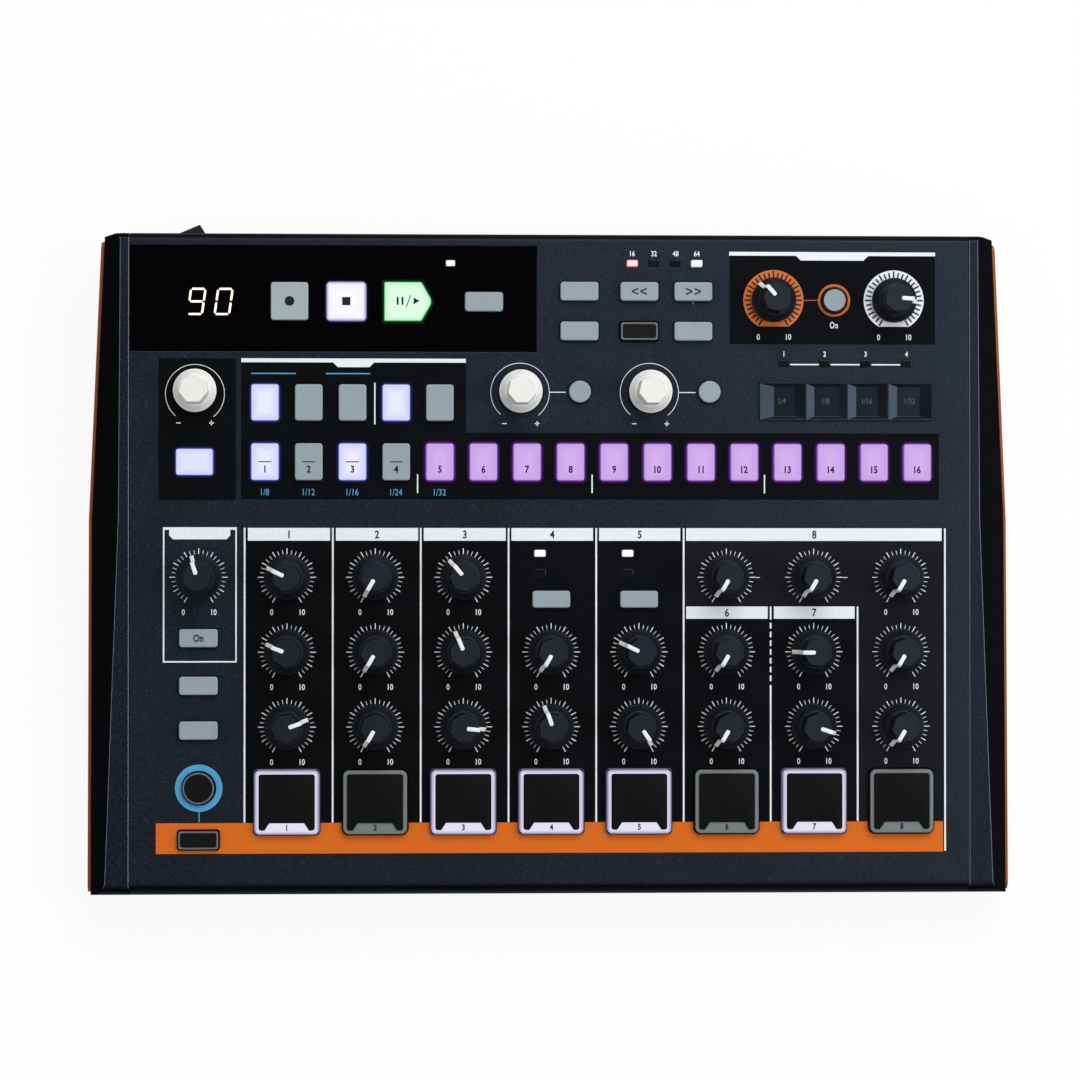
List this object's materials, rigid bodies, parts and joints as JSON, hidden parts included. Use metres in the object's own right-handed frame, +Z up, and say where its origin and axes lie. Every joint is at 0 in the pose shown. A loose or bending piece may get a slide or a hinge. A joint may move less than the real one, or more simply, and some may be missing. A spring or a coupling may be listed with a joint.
{
  "type": "drum machine",
  "caption": "Desktop analogue drum machine: sloping panel of knobs, lit keys and drum pads between two side cheeks, with a rear row of sockets and a power rocker.",
  "frame": {"origin": "middle of the footprint's box, on the table", "axes": "+X to the player's right, +Y to the rear, +Z up; the panel slopes up to the rear by 4 degrees"},
  "size_m": [0.316, 0.23, 0.0503],
  "materials": {
    "panel_paint": "dark blue-grey powder coat with a fine speckle, satin",
    "gloss_window": "black acrylic, gloss",
    "display_body": "black moulding",
    "strip_plastic": "black, semi-gloss",
    "lamp_lens": "clear light pipe",
    "cheek_plastic": "near-black moulded plastic, fine spark texture",
    "side_orange": "orange moulded plastic, satin",
    "base_plastic": "black moulded plastic",
    "circuit_board": "green solder mask",
    "control_metal": "pressed steel cans",
    "switch_plastic": "black switch housings",
    "socket_plastic": "black sockets with plated collars",
    "foot_rubber": "black rubber",
    "screw_steel": "blackened steel",
    "rocker_plastic": "black rocker",
    "key_grey": "grey translucent silicone, unlit",
    "key_white": "translucent silicone, lit white",
    "key_green": "translucent silicone, lit green",
    "key_violet": "translucent silicone, lit violet",
    "pad_rubber": "black rubber in a translucent rim",
    "knob_black": "soft-touch black with a white pointer",
    "knob_white": "soft-touch white",
    "print_white": "white screen print",
    "print_black": "matt black screen print",
    "print_orange": "orange screen print",
    "print_blue": "blue screen print",
    "lit_digits": "lit seven-segment digits"
  },
  "bodies": {
    "case": {"top_panel": "panel_paint", "display_window": "gloss_window", "digit_display": "display_body", "touch_strip": "strip_plastic", "indicator_lenses": "lamp_lens", "left_cheek": "cheek_plastic", "right_cheek": "cheek_plastic", "side_inserts": "side_orange", "base_tray": "base_plastic", "control_board": "circuit_board", "main_board": "circuit_board", "potentiometers": "control_metal", "key_switches": "switch_plastic", "rear_sockets": "socket_plastic", "rubber_feet": "foot_rubber", "case_screws": "screw_steel"},
    "power_rocker": {"power_rocker": "rocker_plastic"},
    "record_button": {"record_button": "key_grey"},
    "stop_button": {"stop_button": "key_white"},
    "play_button": {"play_button": "key_green"},
    "function_buttons": {"function_buttons": "key_grey"},
    "round_buttons": {"round_buttons": "key_grey"},
    "mode_buttons": {"mode_buttons": "key_white"},
    "step_buttons": {"step_buttons": "key_violet"},
    "pad_1": {"pad_1": "pad_rubber"},
    "pad_2": {"pad_2": "pad_rubber"},
    "pad_3": {"pad_3": "pad_rubber"},
    "pad_4": {"pad_4": "pad_rubber"},
    "pad_5": {"pad_5": "pad_rubber"},
    "pad_6": {"pad_6": "pad_rubber"},
    "pad_7": {"pad_7": "pad_rubber"},
    "pad_8": {"pad_8": "pad_rubber"},
    "metronome_knob": {"metronome_knob": "knob_black"},
    "kick_decay_knob": {"kick_decay_knob": "knob_black"},
    "kick_pitch_knob": {"kick_pitch_knob": "knob_black"},
    "kick_level_knob": {"kick_level_knob": "knob_black"},
    "snare_one_decay_knob": {"snare_one_decay_knob": "knob_black"},
    "snare_one_tone_knob": {"snare_one_tone_knob": "knob_black"},
    "snare_one_level_knob": {"snare_one_level_knob": "knob_black"},
    "snare_two_decay_knob": {"snare_two_decay_knob": "knob_black"},
    "snare_two_tone_knob": {"snare_two_tone_knob": "knob_black"},
    "snare_two_level_knob": {"snare_two_level_knob": "knob_black"},
    "tom_pitch_knob": {"tom_pitch_knob": "knob_black"},
    "tom_level_knob": {"tom_level_knob": "knob_black"},
    "cymbal_decay_knob": {"cymbal_decay_knob": "knob_black"},
    "cymbal_level_knob": {"cymbal_level_knob": "knob_black"},
    "drum_modulation_knob": {"drum_modulation_knob": "knob_black"},
    "hat_tone_knob": {"hat_tone_knob": "knob_black"},
    "closed_hat_level_knob": {"closed_hat_level_knob": "knob_black"},
    "drum_fm_amount_knob": {"drum_fm_amount_knob": "knob_black"},
    "open_hat_decay_knob": {"open_hat_decay_knob": "knob_black"},
    "open_hat_level_knob": {"open_hat_level_knob": "knob_black"},
    "drum_fm_decay_knob": {"drum_fm_decay_knob": "knob_black"},
    "carrier_pitch_knob": {"carrier_pitch_knob": "knob_black"},
    "drum_fm_level_knob": {"drum_fm_level_knob": "knob_black"},
    "distortion_knob": {"distortion_knob": "knob_black"},
    "master_volume_knob": {"master_volume_knob": "knob_black"},
    "rate_encoder": {"rate_encoder": "knob_white"},
    "swing_encoder": {"swing_encoder": "knob_white"},
    "random_encoder": {"random_encoder": "knob_white"}
  },
  "joints": [
    {"name": "power_rocker_tip", "type": "hinge", "parent": "case", "child": "power_rocker", "pos_m": [-0.1274, 0.10637, 0.016], "axis": [0, 0, 1], "range_deg": [-24, 0]},
    {"name": "record_button_press", "type": "slide", "parent": "case", "child": "record_button", "axis": [0, 0.0698, -0.9976], "range_m": [0, 0.0012], "stiffness_N_per_m": 300, "springref_m": -0.0005},
    {"name": "stop_button_press", "type": "slide", "parent": "case", "child": "stop_button", "axis": [0, 0.0698, -0.9976], "range_m": [0, 0.0012], "stiffness_N_per_m": 300, "springref_m": -0.0005},
    {"name": "play_button_press", "type": "slide", "parent": "case", "child": "play_button", "axis": [0, 0.0698, -0.9976], "range_m": [0, 0.0012], "stiffness_N_per_m": 300, "springref_m": -0.0005},
    {"name": "function_buttons_press", "type": "slide", "parent": "case", "child": "function_buttons", "axis": [0, 0.0698, -0.9976], "range_m": [0, 0.0012], "stiffness_N_per_m": 3900, "springref_m": -0.0005},
    {"name": "round_buttons_press", "type": "slide", "parent": "case", "child": "round_buttons", "axis": [0, 0.0698, -0.9976], "range_m": [0, 0.0012], "stiffness_N_per_m": 1200, "springref_m": -0.0005},
    {"name": "mode_buttons_press", "type": "slide", "parent": "case", "child": "mode_buttons", "axis": [0, 0.0698, -0.9976], "range_m": [0, 0.0012], "stiffness_N_per_m": 1800, "springref_m": -0.0005},
    {"name": "step_buttons_press", "type": "slide", "parent": "case", "child": "step_buttons", "axis": [0, 0.0698, -0.9976], "range_m": [0, 0.0012], "stiffness_N_per_m": 4800, "springref_m": -0.0005},
    {"name": "pad_1_press", "type": "slide", "parent": "case", "child": "pad_1", "axis": [0, 0.0698, -0.9976], "range_m": [0, 0.0014], "stiffness_N_per_m": 900, "springref_m": -0.0005},
    {"name": "pad_2_press", "type": "slide", "parent": "case", "child": "pad_2", "axis": [0, 0.0698, -0.9976], "range_m": [0, 0.0014], "stiffness_N_per_m": 900, "springref_m": -0.0005},
    {"name": "pad_3_press", "type": "slide", "parent": "case", "child": "pad_3", "axis": [0, 0.0698, -0.9976], "range_m": [0, 0.0014], "stiffness_N_per_m": 900, "springref_m": -0.0005},
    {"name": "pad_4_press", "type": "slide", "parent": "case", "child": "pad_4", "axis": [0, 0.0698, -0.9976], "range_m": [0, 0.0014], "stiffness_N_per_m": 900, "springref_m": -0.0005},
    {"name": "pad_5_press", "type": "slide", "parent": "case", "child": "pad_5", "axis": [0, 0.0698, -0.9976], "range_m": [0, 0.0014], "stiffness_N_per_m": 900, "springref_m": -0.0005},
    {"name": "pad_6_press", "type": "slide", "parent": "case", "child": "pad_6", "axis": [0, 0.0698, -0.9976], "range_m": [0, 0.0014], "stiffness_N_per_m": 900, "springref_m": -0.0005},
    {"name": "pad_7_press", "type": "slide", "parent": "case", "child": "pad_7", "axis": [0, 0.0698, -0.9976], "range_m": [0, 0.0014], "stiffness_N_per_m": 900, "springref_m": -0.0005},
    {"name": "pad_8_press", "type": "slide", "parent": "case", "child": "pad_8", "axis": [0, 0.0698, -0.9976], "range_m": [0, 0.0014], "stiffness_N_per_m": 900, "springref_m": -0.0005},
    {"name": "metronome_knob_turn", "type": "hinge", "parent": "case", "child": "metronome_knob", "pos_m": [-0.12, -0.00736, 0.02953], "axis": [0, -0.0698, 0.9976], "range_deg": [-168, 132]},
    {"name": "kick_decay_knob_turn", "type": "hinge", "parent": "case", "child": "kick_decay_knob", "pos_m": [-0.09, -0.00736, 0.02953], "axis": [0, -0.0698, 0.9976], "range_deg": [-215, 85]},
    {"name": "kick_pitch_knob_turn", "type": "hinge", "parent": "case", "child": "kick_pitch_knob", "pos_m": [-0.09, -0.0328, 0.02775], "axis": [0, -0.0698, 0.9976], "range_deg": [-219, 81]},
    {"name": "kick_level_knob_turn", "type": "hinge", "parent": "case", "child": "kick_level_knob", "pos_m": [-0.09, -0.05824, 0.02597], "axis": [0, -0.0698, 0.9976], "range_deg": [-80, 220]},
    {"name": "snare_one_decay_knob_turn", "type": "hinge", "parent": "case", "child": "snare_one_decay_knob", "pos_m": [-0.06, -0.00736, 0.02953], "axis": [0, -0.0698, 0.9976], "range_deg": [-300, 0]},
    {"name": "snare_one_tone_knob_turn", "type": "hinge", "parent": "case", "child": "snare_one_tone_knob", "pos_m": [-0.06, -0.0328, 0.02775], "axis": [0, -0.0698, 0.9976], "range_deg": [-300, 0]},
    {"name": "snare_one_level_knob_turn", "type": "hinge", "parent": "case", "child": "snare_one_level_knob", "pos_m": [-0.06, -0.05824, 0.02597], "axis": [0, -0.0698, 0.9976], "range_deg": [-300, 0]},
    {"name": "snare_two_decay_knob_turn", "type": "hinge", "parent": "case", "child": "snare_two_decay_knob", "pos_m": [-0.03, -0.00736, 0.02953], "axis": [0, -0.0698, 0.9976], "range_deg": [-190, 110]},
    {"name": "snare_two_tone_knob_turn", "type": "hinge", "parent": "case", "child": "snare_two_tone_knob", "pos_m": [-0.03, -0.0328, 0.02775], "axis": [0, -0.0698, 0.9976], "range_deg": [-172, 128]},
    {"name": "snare_two_level_knob_turn", "type": "hinge", "parent": "case", "child": "snare_two_level_knob", "pos_m": [-0.03, -0.05824, 0.02597], "axis": [0, -0.0698, 0.9976], "range_deg": [-54, 246]},
    {"name": "tom_pitch_knob_turn", "type": "hinge", "parent": "case", "child": "tom_pitch_knob", "pos_m": [0, -0.0328, 0.02775], "axis": [0, -0.0698, 0.9976], "range_deg": [-300, 0]},
    {"name": "tom_level_knob_turn", "type": "hinge", "parent": "case", "child": "tom_level_knob", "pos_m": [0, -0.05824, 0.02597], "axis": [0, -0.0698, 0.9976], "range_deg": [-169, 131]},
    {"name": "cymbal_decay_knob_turn", "type": "hinge", "parent": "case", "child": "cymbal_decay_knob", "pos_m": [0.03, -0.0328, 0.02775], "axis": [0, -0.0698, 0.9976], "range_deg": [-214, 86]},
    {"name": "cymbal_level_knob_turn", "type": "hinge", "parent": "case", "child": "cymbal_level_knob", "pos_m": [0.03, -0.05824, 0.02597], "axis": [0, -0.0698, 0.9976], "range_deg": [-4, 296]},
    {"name": "drum_modulation_knob_turn", "type": "hinge", "parent": "case", "child": "drum_modulation_knob", "pos_m": [0.06, -0.00736, 0.02953], "axis": [0, -0.0698, 0.9976], "range_deg": [-300, 0]},
    {"name": "hat_tone_knob_turn", "type": "hinge", "parent": "case", "child": "hat_tone_knob", "pos_m": [0.06, -0.0328, 0.02775], "axis": [0, -0.0698, 0.9976], "range_deg": [-300, 0]},
    {"name": "closed_hat_level_knob_turn", "type": "hinge", "parent": "case", "child": "closed_hat_level_knob", "pos_m": [0.06, -0.05824, 0.02597], "axis": [0, -0.0698, 0.9976], "range_deg": [-300, 0]},
    {"name": "drum_fm_amount_knob_turn", "type": "hinge", "parent": "case", "child": "drum_fm_amount_knob", "pos_m": [0.09, -0.00736, 0.02953], "axis": [0, -0.0698, 0.9976], "range_deg": [-300, 0]},
    {"name": "open_hat_decay_knob_turn", "type": "hinge", "parent": "case", "child": "open_hat_decay_knob", "pos_m": [0.09, -0.0328, 0.02775], "axis": [0, -0.0698, 0.9976], "range_deg": [-240, 60]},
    {"name": "open_hat_level_knob_turn", "type": "hinge", "parent": "case", "child": "open_hat_level_knob", "pos_m": [0.09, -0.05824, 0.02597], "axis": [0, -0.0698, 0.9976], "range_deg": [-42, 258]},
    {"name": "drum_fm_decay_knob_turn", "type": "hinge", "parent": "case", "child": "drum_fm_decay_knob", "pos_m": [0.12, -0.00736, 0.02953], "axis": [0, -0.0698, 0.9976], "range_deg": [-300, 0]},
    {"name": "carrier_pitch_knob_turn", "type": "hinge", "parent": "case", "child": "carrier_pitch_knob", "pos_m": [0.12, -0.0328, 0.02775], "axis": [0, -0.0698, 0.9976], "range_deg": [-300, 0]},
    {"name": "drum_fm_level_knob_turn", "type": "hinge", "parent": "case", "child": "drum_fm_level_knob", "pos_m": [0.12, -0.05824, 0.02597], "axis": [0, -0.0698, 0.9976], "range_deg": [-300, 0]},
    {"name": "distortion_knob_turn", "type": "hinge", "parent": "case", "child": "distortion_knob", "pos_m": [0.0762, 0.08731, 0.03615], "axis": [0, -0.0698, 0.9976], "range_deg": [-191, 109]},
    {"name": "master_volume_knob_turn", "type": "hinge", "parent": "case", "child": "master_volume_knob", "pos_m": [0.1176, 0.08731, 0.03615], "axis": [0, -0.0698, 0.9976], "range_deg": [-56, 244]},
    {"name": "rate_encoder_turn", "type": "hinge", "parent": "case", "child": "rate_encoder", "pos_m": [-0.1213, 0.05598, 0.03396], "axis": [0, -0.0698, 0.9976], "continuous": true},
    {"name": "swing_encoder_turn", "type": "hinge", "parent": "case", "child": "swing_encoder", "pos_m": [-0.0104, 0.05598, 0.03396], "axis": [0, -0.0698, 0.9976], "continuous": true},
    {"name": "random_encoder_turn", "type": "hinge", "parent": "case", "child": "random_encoder", "pos_m": [0.034, 0.05598, 0.03396], "axis": [0, -0.0698, 0.9976], "continuous": true}
  ]
}
